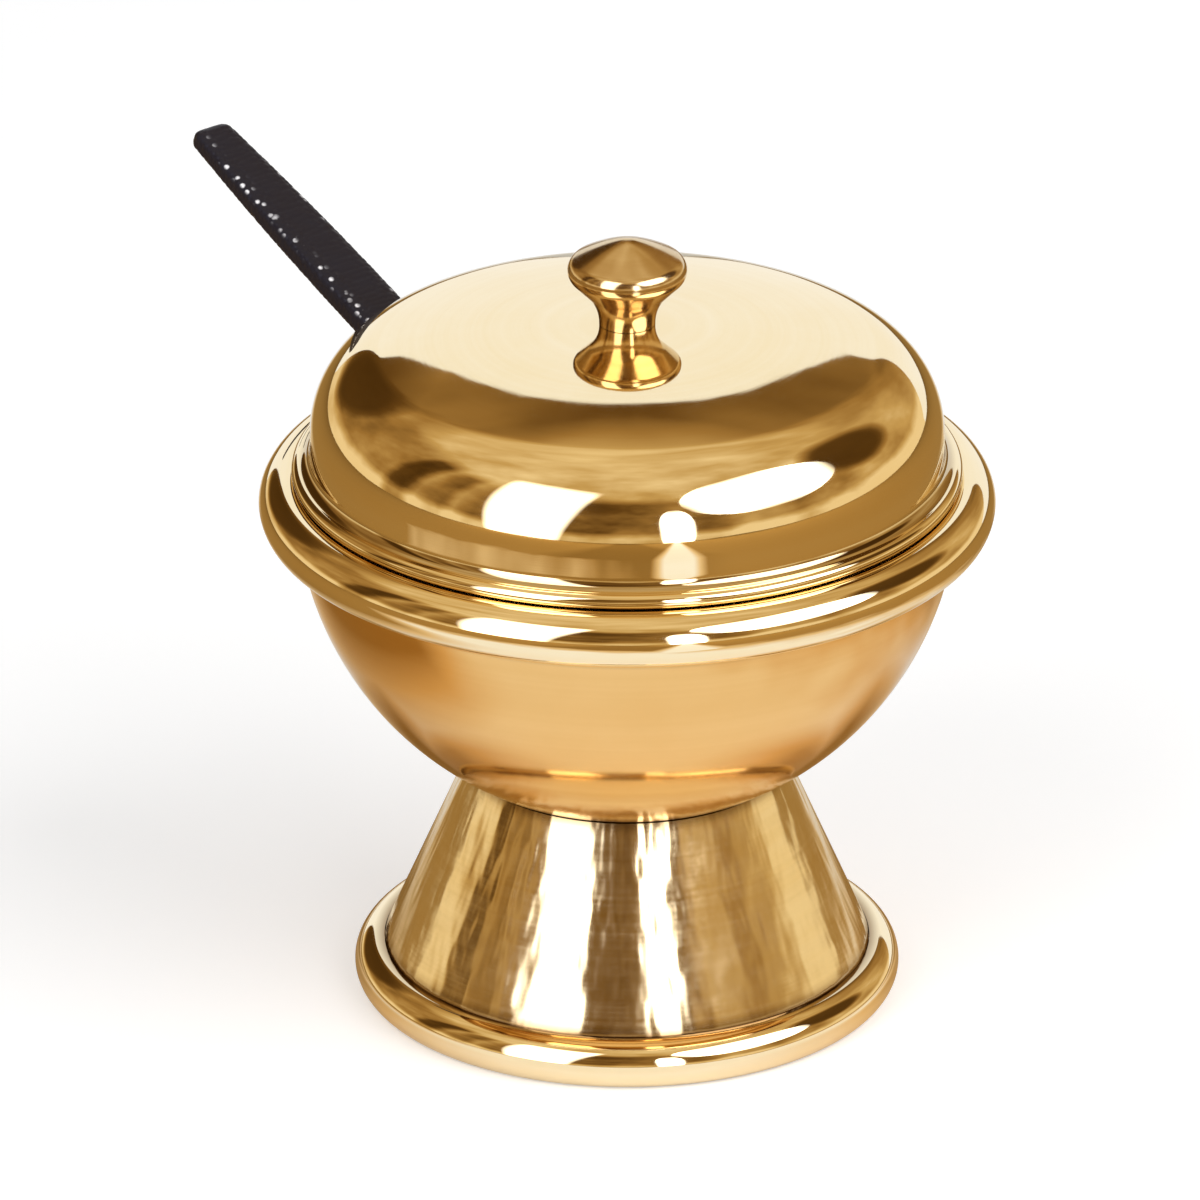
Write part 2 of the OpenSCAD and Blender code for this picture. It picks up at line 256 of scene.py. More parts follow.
def on_spoon(along_share, across_share, up_share):
    """Points given along, across and above the shank, placed in the part's frame."""
    return (spoon_origin + along_share[..., None] * along + across_share[..., None] * across
            + up_share[..., None] * upward)


# Helpers for materials

# Sockets of a mix node for each kind of value: the first, the second and the result
MIX_SOCKETS = {"FLOAT": (2, 3, 0), "RGBA": (6, 7, 2)}


def grey(value):
    """A grey as a colour with full alpha."""
    return (value, value, value, 1)


class Graph:
    """Short ways to add and join the nodes of one material, lamp or world."""

    def __init__(self, owner):
        owner.use_nodes = True
        self.nodes = owner.node_tree.nodes
        self.links = owner.node_tree.links

    def feed(self, socket, value):
        """Joins another node's output to a socket, or sets the socket to a constant."""
        if isinstance(value, bpy.types.NodeSocket):
            self.links.new(value, socket)
        else:
            socket.default_value = value

    def node(self, kind, **inputs):
        """A node of the given kind, with its named inputs fed."""
        node = self.nodes.new(kind)
        for name, value in inputs.items():
            self.feed(node.inputs[name.title()], value)
        return node

    def sum(self, operation, first, second=None, clamp=False):
        """One sum on one or two values, each a socket or a number."""
        node = self.nodes.new("ShaderNodeMath")
        node.operation = operation
        node.use_clamp = clamp
        self.feed(node.inputs[0], first)
        if second is not None:
            self.feed(node.inputs[1], second)
        return node.outputs[0]

    def plus(self, first, second):
        return self.sum("ADD", first, second)

    def minus(self, first, second, clamp=False):
        return self.sum("SUBTRACT", first, second, clamp)

    def times(self, first, second, clamp=False):
        return self.sum("MULTIPLY", first, second, clamp)

    def over(self, first, second, clamp=False):
        return self.sum("DIVIDE", first, second, clamp)

    def most(self, first, second):
        return self.sum("MAXIMUM", first, second)

    def size_of(self, value):
        return self.sum("ABSOLUTE", value)

    def away(self, x, y):
        """How far a point at x and y lies from the origin."""
        return self.sum("SQRT", self.plus(self.times(x, x), self.times(y, y)))

    def place(self):
        """Object coordinates."""
        return self.nodes.new("ShaderNodeTexCoord").outputs["Object"]

    def attribute(self, name):
        """A number that each point of the mesh carries."""
        node = self.nodes.new("ShaderNodeAttribute")
        node.attribute_name = name
        return node.outputs["Fac"]

    def split(self, vector):
        """The x, y and z of a vector."""
        return self.node("ShaderNodeSeparateXYZ", vector=vector).outputs

    def combine(self, x, y, z=0.0):
        """A vector of x, y and z."""
        return self.node("ShaderNodeCombineXYZ", x=x, y=y, z=z).outputs[0]

    def noise(self, vector, scale, detail, roughness=0.5):
        """Smooth noise from 0 to 1 over places given by a vector."""
        node = self.node("ShaderNodeTexNoise", vector=vector, scale=scale, detail=detail,
                         roughness=roughness)
        return node.outputs["Fac"]

    def ramp(self, value, stops):
        """A colour ramp over a value, from (place, colour) pairs."""
        node = self.node("ShaderNodeValToRGB", fac=value)
        elements = node.color_ramp.elements
        while len(elements) < len(stops):
            elements.new(0.5)
        for element, (place, colour) in zip(elements, stops):
            element.position = place
            element.color = colour
        return node.outputs["Color"]

    def between(self, value, places, greys):
        """A grey that passes from one to another while a value passes between two places."""
        return self.ramp(value, [(place, grey(tone)) for place, tone in zip(places, greys)])

    def bump(self, height, depth, normal=None):
        """A normal tilted by a height from 0 to 1, which stands for a depth in metres."""
        node = self.node("ShaderNodeBump", strength=1.0, distance=depth, height=height)
        if normal is not None:
            self.feed(node.inputs["Normal"], normal)
        return node.outputs["Normal"]

    def mix(self, kind, factor, first, second):
        """A number (FLOAT) or colour (RGBA) between two, by a factor from 0 to 1."""
        node = self.nodes.new("ShaderNodeMix")
        node.data_type = kind
        first_socket, second_socket, result_socket = MIX_SOCKETS[kind]
        self.feed(node.inputs["Factor"], factor)
        self.feed(node.inputs[first_socket], first)
        self.feed(node.inputs[second_socket], second)
        return node.outputs[result_socket]

    def mix_shaders(self, factor, first, second):
        """A shader between two, by a factor from 0 to 1."""
        node = self.nodes.new("ShaderNodeMixShader")
        self.feed(node.inputs[0], factor)
        self.feed(node.inputs[1], first.outputs[0])
        self.feed(node.inputs[2], second.outputs[0])
        return node

    def ray(self, *kinds):
        """1 for rays of any of the named kinds, else 0."""
        path = self.nodes.new("ShaderNodeLightPath")
        value = path.outputs[kinds[0]]
        for kind in kinds[1:]:
            value = self.most(value, path.outputs[kind])
        return value


# Brass: scales of its noises, shares in which they mix, and places on the noise where looks begin and end
RING_SCALE = 420.0
STAIN_SCALE = 90.0
RING_SHARE = 0.6
TINT_PLACES = (0.40, 0.60)
WIPE_SCALE = 260.0
WIPE_SHARE = 0.6
SHINE_PLACES = (0.35, 0.68)
WAVE_SCALE = 70.0
STREAK_SCALE = 6.0
STREAK_DRAW = 18.0
# How far creases darken, and their dark brown: tarnish and painted shade
TARNISH_AND_SHADE = 0.8
TARNISH_AND_SHADE_COLOUR = (0.20, 0.10, 0.03, 1)
POLISHED = (0.95, 0.815, 0.56, 1)
POLISHED_STAIN = (0.93, 0.775, 0.49, 1)
KNOB = (0.76, 0.60, 0.37, 1)
KNOB_STAIN = (0.68, 0.51, 0.29, 1)
SATIN = (0.835, 0.535, 0.215, 1)
SATIN_STAIN = (0.80, 0.495, 0.185, 1)
PLAIN = (0.80, 0.60, 0.31, 1)
PLAIN_STAIN = (0.62, 0.42, 0.19, 1)

# The grip's plastic
GRIP_BLACK = (0.011, 0.010, 0.017, 1)
GRIP_GLEAM = (0.72, 0.76, 1.0, 1)
# The pale colour of the painted glints on the grip's pebbles
GRIP_GLINT_COLOUR = (0.85, 0.83, 0.85, 1)
SPECK_SCALE = 1000.0
SPECK_PLACES = (0.20, 0.36)
PATCH_SCALE = 420.0
PATCH_PLACES = (0.32, 0.44)
GRIP_SHINE = (0.36, 0.5)
GRIP_SHINE_PLACES = (0.3, 0.7)
GRIP_GLOSS = 0.35


def brass(name, colour, stain, shine, lines, line_depth, dent_depth, streak_depth=0.0):
    """Brass with faint rings and stains, uneven polish, fine marks left by turning, and waves of the sheet.

    The marks are noise along radius and height, drawn out round the axis because the turn is left out.
    The streaks are noise round the axis, drawn out along the slope. Tarnish and painted shade, from a
    value each point carries, darken creases. Shine gives the least and most roughness, and the depths are in
    metres.
    """
    material = bpy.data.materials.new(name)
    graph = Graph(material)
    shader = graph.nodes["Principled BSDF"]
    shader.inputs["Metallic"].default_value = 1.0
    place = graph.place()
    x, y, z = graph.split(place)
    radius = graph.away(x, y)
    in_section = graph.combine(radius, z)

    rings = graph.noise(in_section, RING_SCALE, detail=4.0, roughness=0.6)
    stains = graph.noise(place, STAIN_SCALE, detail=6.0, roughness=0.6)
    mixed = graph.plus(graph.times(rings, RING_SHARE), graph.times(stains, 1 - RING_SHARE))
    tint = graph.ramp(mixed, list(zip(TINT_PLACES, (stain, colour))))
    # Tarnish and painted shade darken the creases
    tarnish_and_shade = graph.times(graph.attribute("tarnish_shade_glints"), TARNISH_AND_SHADE)
    graph.feed(shader.inputs["Base Color"], graph.mix("RGBA", tarnish_and_shade, tint, TARNISH_AND_SHADE_COLOUR))

    marks = graph.noise(in_section, lines, detail=5.0, roughness=0.65)
    wiping = graph.noise(place, WIPE_SCALE, detail=4.0, roughness=0.7)
    uneven = graph.plus(graph.times(wiping, WIPE_SHARE), graph.times(marks, 1 - WIPE_SHARE))
    graph.feed(shader.inputs["Roughness"], graph.between(uneven, SHINE_PLACES, shine))

    waves = graph.noise(place, WAVE_SCALE, detail=2.0, roughness=0.4)
    around = graph.combine(graph.over(x, radius), graph.over(y, radius), graph.times(z, STREAK_DRAW))
    streaks = graph.noise(around, STREAK_SCALE, detail=2.0)
    dented = graph.bump(waves, dent_depth)
    rippled = graph.bump(streaks, streak_depth, dented)
    graph.feed(shader.inputs["Normal"], graph.bump(marks, line_depth, rippled))
    return material


def grip_plastic():
    """Black plastic, faintly pebbled, with pale specks painted on pebbles along its edges as glints of light."""
    material = bpy.data.materials.new("pebbled_grip")
    graph = Graph(material)
    shader = graph.nodes["Principled BSDF"]
    place = graph.place()
    cells = graph.node("ShaderNodeTexVoronoi", vector=place, scale=SPECK_SCALE)
    tops = graph.between(cells.outputs["Distance"], SPECK_PLACES, (1.0, 0.0))
    patches = graph.noise(place, PATCH_SCALE, detail=3.0)
    scattered = graph.between(patches, PATCH_PLACES, (0.0, 1.0))
    # Painted glints: pale specks on pebble tops along the grip's edges
    painted_glints = graph.times(graph.times(tops, graph.attribute("tarnish_shade_glints")), scattered, clamp=True)
    graph.feed(shader.inputs["Base Color"], graph.ramp(painted_glints, [(0.0, GRIP_BLACK), (1.0, GRIP_GLINT_COLOUR)]))
    graph.feed(shader.inputs["Roughness"], graph.between(patches, GRIP_SHINE_PLACES, GRIP_SHINE))
    shader.inputs["Specular IOR Level"].default_value = GRIP_GLOSS
    shader.inputs["Specular Tint"].default_value = GRIP_GLEAM
    return material


polished_brass = brass("polished_brass", POLISHED, POLISHED_STAIN, shine=(0.02, 0.06), lines=2600.0,
                       line_depth=0.0000006, dent_depth=0.00006)
foot_brass = brass("foot_brass", POLISHED, POLISHED_STAIN, shine=(0.09, 0.20), lines=2600.0,
                   line_depth=0.000003, dent_depth=0.00004, streak_depth=0.00026)
knob_brass = brass("knob_brass", KNOB, KNOB_STAIN, shine=(0.10, 0.22), lines=2600.0,
                   line_depth=0.0000015, dent_depth=0.00008)
satin_brass = brass("satin_brass", SATIN, SATIN_STAIN, shine=(0.08, 0.15), lines=3400.0,
                    line_depth=0.000002, dent_depth=0.00003)
plain_brass = brass("plain_brass", PLAIN, PLAIN_STAIN, shine=(0.2, 0.36), lines=3000.0,
                    line_depth=0.000004, dent_depth=0.00004)
pebbled_grip = grip_plastic()


# Foot

def foot_bead_section():
    """The foot's ring: a flat underside, a round outside, a ledge for the cone and a bore."""
    flat_end = foot_ring + math.sqrt(FOOT_BEAD_RADIUS ** 2 - foot_z ** 2)
    start = -math.degrees(math.asin(foot_z / FOOT_BEAD_RADIUS))
    wall = skirt_radius + SOLDER_GAP
    stop = math.degrees(math.acos((wall - foot_ring) / FOOT_BEAD_RADIUS))
    round_side = arc(foot_ring, foot_z, FOOT_BEAD_RADIUS, start, stop, 72)
    return np.concatenate([
        line((foot_bore, 0), (flat_end, 0), 8)[:-1],
        round_side,
        line((wall, round_side[-1, 1]), (wall, ledge_z), 4)[1:],
        line((wall, ledge_z), (foot_bore, ledge_z), 4)[1:],
        line((foot_bore, ledge_z), (foot_bore, 0), 6)[1:-1]])


def foot_cone_section():
    """The foot's sheet: a short upright skirt, a straight slope, and a top edge hollowed to the bowl."""
    cup = bowl_radius + CUP_GAP
    top_z = bowl_z - math.sqrt(cup ** 2 - CONE_TOP_RADIUS ** 2)
    slope = (skirt_radius - CONE_TOP_RADIUS) / (top_z - skirt_top)
    inner = skirt_radius - CONE_WALL * math.sqrt(1 + slope ** 2)
    inner_top = inner - slope * (top_z - skirt_top)
    inner_z = bowl_z - math.sqrt(cup ** 2 - inner_top ** 2)
    return np.concatenate([
        line((skirt_radius, ledge_z), (skirt_radius, skirt_top), 6)[:-1],
        line((skirt_radius, skirt_top), (CONE_TOP_RADIUS, top_z), 48)[:-1],
        line((CONE_TOP_RADIUS, top_z), (inner_top, inner_z), 6)[:-1],
        line((inner_top, inner_z), (inner, skirt_top), 24)[:-1],
        line((inner, skirt_top), (inner, ledge_z), 6)[:-1],
        line((inner, ledge_z), (skirt_radius, ledge_z), 4)[:-1]])


# Bowl

def bowl_section():
    """The bowl: a half sphere outside and inside, with a hole and a small flat floor for the screw."""
    start = -math.degrees(math.acos(SCREW_HOLE / bowl_radius))
    stop = -math.degrees(math.asin(RIM_DROP / bowl_radius))
    floor = -math.degrees(math.acos(SCREW_HEAD / bowl_inside))
    outside = arc(0, bowl_z, bowl_radius, start, stop, 140)
    inside = arc(0, bowl_z, bowl_inside, 0, floor, 110)
    floor_z = inside[-1, 1]
    return np.concatenate([
        outside,
        inside,
        line((SCREW_HEAD, floor_z), (SCREW_HOLE, floor_z), 4)[1:],
        line((SCREW_HOLE, floor_z), (SCREW_HOLE, outside[0, 1]), 4)[1:-1]])


def rim_bead_section():
    """The mouth's bead: most of a circle, cut upright where the mouth's inside wall runs through it."""
    cut = math.degrees(math.acos((bowl_inside - rim_ring) / rim_thick))
    round_side = arc(rim_ring, rim_z, rim_thick, -cut, cut, 120)
    return np.concatenate([round_side, line(round_side[-1], round_side[0], 12)[1:-1]])


# Lid

def lid_section():
    """The lid: rolled edge, hollow flare, short side, shoulder and crown, then the same inside."""
    lean = 90 - crown_lean
    roll_end = math.degrees(math.atan2(flare_z - edge_z, flare_ring - edge_ring))
    inner_crown = CROWN_RADIUS - LID_WALL
    inner_shoulder = SHOULDER_RADIUS - LID_WALL
    outer_hole = math.degrees(math.acos(STUD_HOLE / CROWN_RADIUS))
    inner_hole = math.degrees(math.acos(STUD_HOLE / inner_crown))
    return np.concatenate([
        arc(edge_ring, edge_z, EDGE_RADIUS, -180, roll_end, 40),
        arc(flare_ring, flare_z, FLARE_RADIUS, roll_end + 180, 180, 16)[1:],
        line((side_radius, flare_z), (side_radius, shoulder_z), 14)[1:],
        arc(shoulder_ring, shoulder_z, SHOULDER_RADIUS, 0, lean, 60)[1:],
        arc(0, crown_z, CROWN_RADIUS, lean, outer_hole, 70)[1:],
        arc(0, crown_z, inner_crown, inner_hole, lean, 30),
        arc(shoulder_ring, shoulder_z, inner_shoulder, lean, 0, 30)[1:],
        line((inner_side, shoulder_z), (inner_side, edge_z), 24)[1:]])


def lid_outside(height):
    """The lid's outside radius at heights on its side and flare."""
    below = np.maximum(flare_z - height, 0)
    return flare_ring - np.sqrt(np.maximum(FLARE_RADIUS ** 2 - below ** 2, 0))


def build_lid():
    """The lid's section carried round Z. Inside the notch, points below its arched top rise to it.

    The columns at both sides of the notch come twice, once lifted and once not, which makes its walls.
    """
    half_turn = math.asin(notch_half / side_radius)
    notch_turn = np.linspace(-half_turn, half_turn, NOTCH_STEPS)
    rest_turn = np.linspace(half_turn, 2 * np.pi - half_turn, TURN_STEPS)
    turn = np.concatenate([notch_turn, rest_turn]) + spoon_turn
    section = lid_section()
    radius = np.broadcast_to(section[:, 0], (len(turn), len(section))).copy()
    height = np.broadcast_to(section[:, 1], (len(turn), len(section))).copy()
    aside = side_radius * np.sin(notch_turn)
    top = spoon_z + np.sqrt(np.maximum(notch_half ** 2 - aside ** 2, 0))
    lifted = height[:NOTCH_STEPS] < top[:, None]
    kept = np.clip(radius[:NOTCH_STEPS], inner_side, lid_outside(top)[:, None])
    radius[:NOTCH_STEPS] = np.where(lifted, kept, radius[:NOTCH_STEPS])
    height[:NOTCH_STEPS] = np.where(lifted, top[:, None], height[:NOTCH_STEPS])
    points = np.stack([radius * np.cos(turn)[:, None], radius * np.sin(turn)[:, None], height], axis=-1)
    make_piece("lid_dome", points, grid_faces(len(turn), len(section), True),
               "lid", ["lid_shell"], polished_brass, crease_tarnish_and_shade(section))


def knob_section():
    """The knob: a stud, a neck that swells in a hollow curve, a thin band with broad edges and a low cone.

    The line between the neck's curve and the band's lower edge touches both circles. The cone falls from
    its point by the power CAP_POWER of the radius, and the band's upper edge ends near its slope.
    """
    brow_ring = head_radius - BROW_RADIUS
    band_low = HEAD_HEIGHT - BAND_HEIGHT / 2
    band_high = HEAD_HEIGHT + BAND_HEIGHT / 2
    inwards = brow_ring - NECK_RADIUS - NECK_CURVE
    touch = math.acos((NECK_CURVE + BROW_RADIUS) / math.hypot(inwards, band_low))
    neck_turn = math.degrees(math.atan2(band_low, inwards) + touch)
    cap_slope = CAP_POWER * (KNOB_HEIGHT - band_high - BROW_RADIUS) / brow_ring
    brow_top = 90 - math.degrees(math.atan(cap_slope))
    neck = arc(NECK_RADIUS + NECK_CURVE, apex_z, NECK_CURVE, 180, neck_turn, 40)
    lower_edge = arc(brow_ring, apex_z + band_low, BROW_RADIUS, neck_turn - 180, 0, 16)
    upper_edge = arc(brow_ring, apex_z + band_high, BROW_RADIUS, 0, brow_top, 16)
    cap_radius, cap_z = upper_edge[-1]
    share = np.linspace(1, 0, 48)
    cap = np.stack([cap_radius * share, knob_high.z - (knob_high.z - cap_z) * share ** CAP_POWER], axis=1)
    return np.concatenate([
        line((0, knob_low.z), (STUD_RADIUS, knob_low.z), 4),
        line((STUD_RADIUS, knob_low.z), (STUD_RADIUS, apex_z), 10)[1:],
        neck, lower_edge, upper_edge, cap[1:]])


def build_knob():
    """The knob's section, which starts and ends on the axis, carried round Z."""
    section = knob_section()
    turn = full_turn()
    make_piece("knob", turned(section, turn), grid_faces(len(turn), len(section), False),
               "lid", ["lid_knob"], knob_brass, crease_tarnish_and_shade(section))


# Spoon

def build_dish():
    """The spoon's dish: a slice of a hollow ball, its section carried round the dish's own axis."""
    lip = math.degrees(math.asin((DISH_RISE - dish_up) / dish_ball))
    inner_ball = dish_ball - DISH_WALL
    inner_lip = math.degrees(math.asin((DISH_RISE - dish_up) / inner_ball))
    section = np.concatenate([
        arc(0, dish_up, dish_ball, -90, lip, 48),
        arc(0, dish_up, inner_ball, inner_lip, -90, 40)])
    points = turned(section, full_turn(DISH_STEPS))
    make_piece("spoon_bowl", on_spoon(dish_along + points[..., 0], points[..., 1], points[..., 2]),
               grid_faces(DISH_STEPS, len(section), False),
               "spoon", ["spoon_dish"], polished_brass, 0)


def build_shank():
    """The spoon's shank: a round bar along the spoon, its section carried round the bar's axis."""
    start = dish_along + math.sqrt((dish_ball - DISH_WALL / 2) ** 2 - dish_up ** 2)
    stop = GRIP_START + SHANK_IN_GRIP
    section = np.concatenate([
        line((0, start), (SHANK_RADIUS, start), 4),
        line((SHANK_RADIUS, start), (SHANK_RADIUS, stop), 60)[1:],
        line((SHANK_RADIUS, stop), (0, stop), 4)[1:]])
    points = turned(section, full_turn(SHANK_STEPS))
    make_piece("spoon_bar", on_spoon(points[..., 2], points[..., 0], points[..., 1]),
               grid_faces(SHANK_STEPS, len(section), False),
               "spoon", ["spoon_shank"], polished_brass, 0)


def pebble_domes(far, round_way, girth):
    """Heights from 0 to 1 of small domes that cover the grip: one in each cell of a shaken grid.

    A point's height falls with the square of its distance to the nearest cell's middle.
    """
    rows = int(far.max() / PEBBLE_SIZE) + 2
    columns = int(girth / PEBBLE_SIZE)
    shaken = np.random.default_rng(PEBBLE_SEED).uniform(*PEBBLE_STRAY, (rows, columns, 2))
    row_size, column_size = PEBBLE_SIZE, girth / columns
    row = np.floor(far / row_size).astype(int)
    column = np.floor(round_way / column_size).astype(int)
    nearest = np.full(far.shape, np.inf)
    for row_step in (-1, 0, 1):
        for column_step in (-1, 0, 1):
            middle = shaken[np.clip(row + row_step, 0, rows - 1), (column + column_step) % columns]
            gap_far = (row + row_step + middle[..., 0]) * row_size - far
            gap_round = (column + column_step + middle[..., 1]) * column_size - round_way
            nearest = np.minimum(nearest, np.hypot(gap_far, gap_round))
    return np.clip(1 - (nearest / (PEBBLE_REACH * PEBBLE_SIZE)) ** 2, 0, 1)


def painted_glint_edge(turn, edge):
    """How strongly painted glints show on an edge of the grip at each turn round its section, falling off as a
    bell curve.
    """
    middle, spread, strength = edge
    return strength * np.exp(-((turn - np.radians(middle)) / np.radians(spread)) ** 2)


def build_grip():
    """The grip: a rounded oblong carried along the spoon, narrowing to a rounded tip, pebbled all over.

    The section is cos and sin to the power GRIP_SQUARENESS. Its half width bends through the start,
    middle and tip widths.
    """
    share = 0.5 - 0.5 * np.cos(np.linspace(0, np.pi, GRIP_STATIONS))
    turn = full_turn(GRIP_STEPS)
    length = GRIP_END - GRIP_START
    far = share * length
    bulge = MID_WIDTH - (GRIP_WIDTH + TIP_WIDTH) / 2
    half_width = (GRIP_WIDTH + (TIP_WIDTH - GRIP_WIDTH) * share + 4 * bulge * share * (1 - share)) / 2
    half_thick = (GRIP_THICKNESS + (TIP_THICKNESS - GRIP_THICKNESS) * share) / 2
    into_tip = np.clip(1 - (length - far) / (TIP_THICKNESS / 2), 0, 1)
    into_start = np.clip(1 - far / GRIP_LEAD, 0, 1)
    inset = half_thick * (1 - np.sqrt(1 - into_tip ** 2)) + GRIP_LEAD * (1 - np.sqrt(1 - into_start ** 2))
    inset = np.where(share == 0, half_thick, inset)
    side = np.sign(np.cos(turn)) * np.abs(np.cos(turn)) ** GRIP_SQUARENESS
    face = np.sign(np.sin(turn)) * np.abs(np.sin(turn)) ** GRIP_SQUARENESS
    wide = (half_width - inset)[None, :] * side[:, None]
    thick = (half_thick - inset)[None, :] * face[:, None]
    step = np.hypot(np.diff(wide, axis=0, append=wide[:1]), np.diff(thick, axis=0, append=thick[:1]))
    round_way = np.cumsum(step, axis=0) - step
    girth = float(step.sum(axis=0).max())
    spread_far = np.broadcast_to(far, wide.shape)
    sunk = PEBBLE_DEPTH * (1 - pebble_domes(spread_far, round_way, girth)) * (inset < half_thick / 2)
    wide = wide * (1 - sunk / half_width)
    thick = thick * (1 - sunk / half_thick)
    points = on_spoon(GRIP_START + spread_far, wide, thick)
    # Where round the section the painted glints show
    painted_glint_share = np.clip(painted_glint_edge(turn, NEAR_EDGE) + painted_glint_edge(turn, FAR_EDGE), 0, 1)[:, None]
    make_piece("spoon_handle", points, grid_faces(GRIP_STEPS, GRIP_STATIONS, False),
               "spoon", ["spoon_grip"], pebbled_grip, painted_glint_share, GRIP_SHARP_ANGLE)


turned_ring("foot_ring", foot_bead_section(), "boat", ["foot_bead"], polished_brass)
turned_ring("foot_flare", foot_cone_section(), "boat", ["foot_cone"], foot_brass)
turned_ring("bowl", bowl_section(), "boat", ["bowl_shell"], satin_brass)
turned_ring("mouth_bead", rim_bead_section(), "boat", ["rim_bead"], polished_brass)
build_lid()
build_knob()
build_dish()
build_shank()
build_grip()

for name in ("foot_cup", "foot_screw", "foot_washer", "foot_nut", "lid_bezel", "knob_washer", "knob_nut"):
    inner_piece = frame["nodes"][name]
    inner_piece.data.materials.clear()
    inner_piece.data.materials.append(plain_brass)


# Camera, floor, lamps and surroundings

VIEW_RISE = math.radians(24.2)
VIEW_DISTANCE = 2.0
VIEW_TARGET = Vector((-0.0028, 0, 0.0428))
VIEW_WIDTH = 0.124
VIEW_END = 20
FLOOR_SIDE = 1.2
FLOOR_FRONT = 1.5
FLOOR_BACK = 3.0
FLOOR_DROP = 0.0002
FLOOR_COLOUR = (0.82, 0.82, 0.82, 1)
FLOOR_GLOW = 0.3
LIGHT_LEVEL = 0.45

# The floor in the metal: a white card on a brown table, with painted shadow round the foot, and how brown it is
# away from the dark front
CARD_GLOW = 0.12
CARD_X = -0.025
CARD_Y = -0.02
CARD_PATCHES = 26.0
CARD_RAGGED = 0.07
TABLE_SHARE = 0.84
TABLE_AND_SHADOW_COLOURS = [(0.0, FLOOR_COLOUR), (0.42, (0.70, 0.50, 0.25, 1)), (0.84, (0.38, 0.22, 0.065, 1)),
                 (1.0, (0.27, 0.15, 0.04, 1))]
# How dark the painted shadow close round the foot gets
CONTACT_SHADOW = 0.8
GLINT_TURN = math.radians(17)
GLINT_HALF = 0.028

# Straight fades on the floor, each as (start, length): leftwards, towards the back, or away from a point
LEFT_SIDE = (0.035, 0.045)
LEFT_FROM_FRONT = (-0.06, 0.03)
CARD_EDGE = (0.12, 0.07)
# Fades of the painted shadow behind the foot and close round it
SHADE_EDGE = (0.045, 0.03)
SHADE_FROM_FRONT = (0.0, 0.02)
RING_EDGE = (0.034, 0.014)
RING_FROM_FRONT = (-0.03, 0.03)
MIDDLE_EDGE = (0.06, 0.04)
BACK_EDGE = (0.11, 0.04)
GLINT_EDGE = (0.0, 0.014)
GLINT_FRONT = (0.1, 0.01)
DARK_FRONT = (0.13, 0.04)

# Windows: name, shape, turn and rise in degrees, width, height and brightness
LAMP_DISTANCE = 1.2
LAMP_POWER = 4
WINDOW_EDGE = 9.0
WINDOWS = [
    ("window_left", "RECTANGLE", -37, 28, 0.68, 1.6, 2.3),
    ("window_right", "ELLIPSE", 58, 41, 1.25, 0.9, 2.1),
    ("window_slit", "ELLIPSE", 18, 12, 0.27, 1.1, 2.3)]

# The white screen behind, an arch as wide and high as these tangents
SCREEN_HALF = 0.215
SCREEN_FLARE = 0.45
FLARE_LEFT = 0.5
FLARE_RIGHT = 1.5
SCREEN_TOP = 0.90
SCREEN_POWER = 3.0
SCREEN_EDGE = 40.0

# The room in the metal: tones by turn in degrees, places by height, and doorways as (turn, rise)
ROOM_TONES = [
    (-180, 0.26), (-169, 0.42), (-150, 0.44), (-126, 0.48), (-110, 0.54), (-99, 0.60), (-94, 0.16),
    (-88, 0.16), (-82, 0.64), (-75, 0.38), (-70, 0.38), (-65, 0.72), (-57, 0.48), (-14, 0.32),
    (7, 0.34), (21, 0.44), (36, 0.42), (44, 0.72), (56, 0.60), (64, 0.40), (78, 0.60), (88, 0.48),
    (97, 0.66), (107, 0.66), (120, 0.70), (132, 0.76), (146, 0.60), (169, 0.40), (180, 0.26)]
ROOM_PATCHES = 3.4
ROOM_UNEVEN = 0.7
HORIZON_TONE = 0.46
HORIZON_PLACES = (0.05, 0.18)
ZENITH_TONE = 0.83
ZENITH_PLACES = (0.70, 0.80)
DOORWAYS = [(108, 36), (-150, 22)]
DOORWAY_DARK = 0.80
DOORWAY_PLACES = (0.945, 0.978)
ROOM_COLOURS = [
    (0.0, (0.05, 0.022, 0.004, 1)), (0.25, (0.13, 0.062, 0.013, 1)), (0.5, (0.36, 0.20, 0.056, 1)),
    (0.75, (0.60, 0.40, 0.155, 1)), (1.0, (0.90, 0.72, 0.43, 1))]


def direction(turn, rise):
    """Unit vector at a turn from the viewer's side towards +X, and a rise above the floor, in degrees."""
    turn, rise = math.radians(turn), math.radians(rise)
    return Vector((math.sin(turn) * math.cos(rise), -math.cos(turn) * math.cos(rise), math.sin(rise)))


def add_camera():
    """The camera at the photograph's viewing angle, with the whole object in its frame."""
    data = bpy.data.cameras.new("camera")
    data.angle = 2 * math.atan(VIEW_WIDTH / 2 / VIEW_DISTANCE)
    data.clip_end = VIEW_END
    camera = bpy.data.objects.new("camera", data)
    away = Vector((0, -math.cos(VIEW_RISE), math.sin(VIEW_RISE)))
    camera.location = VIEW_TARGET + away * VIEW_DISTANCE
    camera.rotation_euler = away.to_track_quat("Z", "Y").to_euler()
    bpy.context.scene.collection.objects.link(camera)
    bpy.context.scene.camera = camera


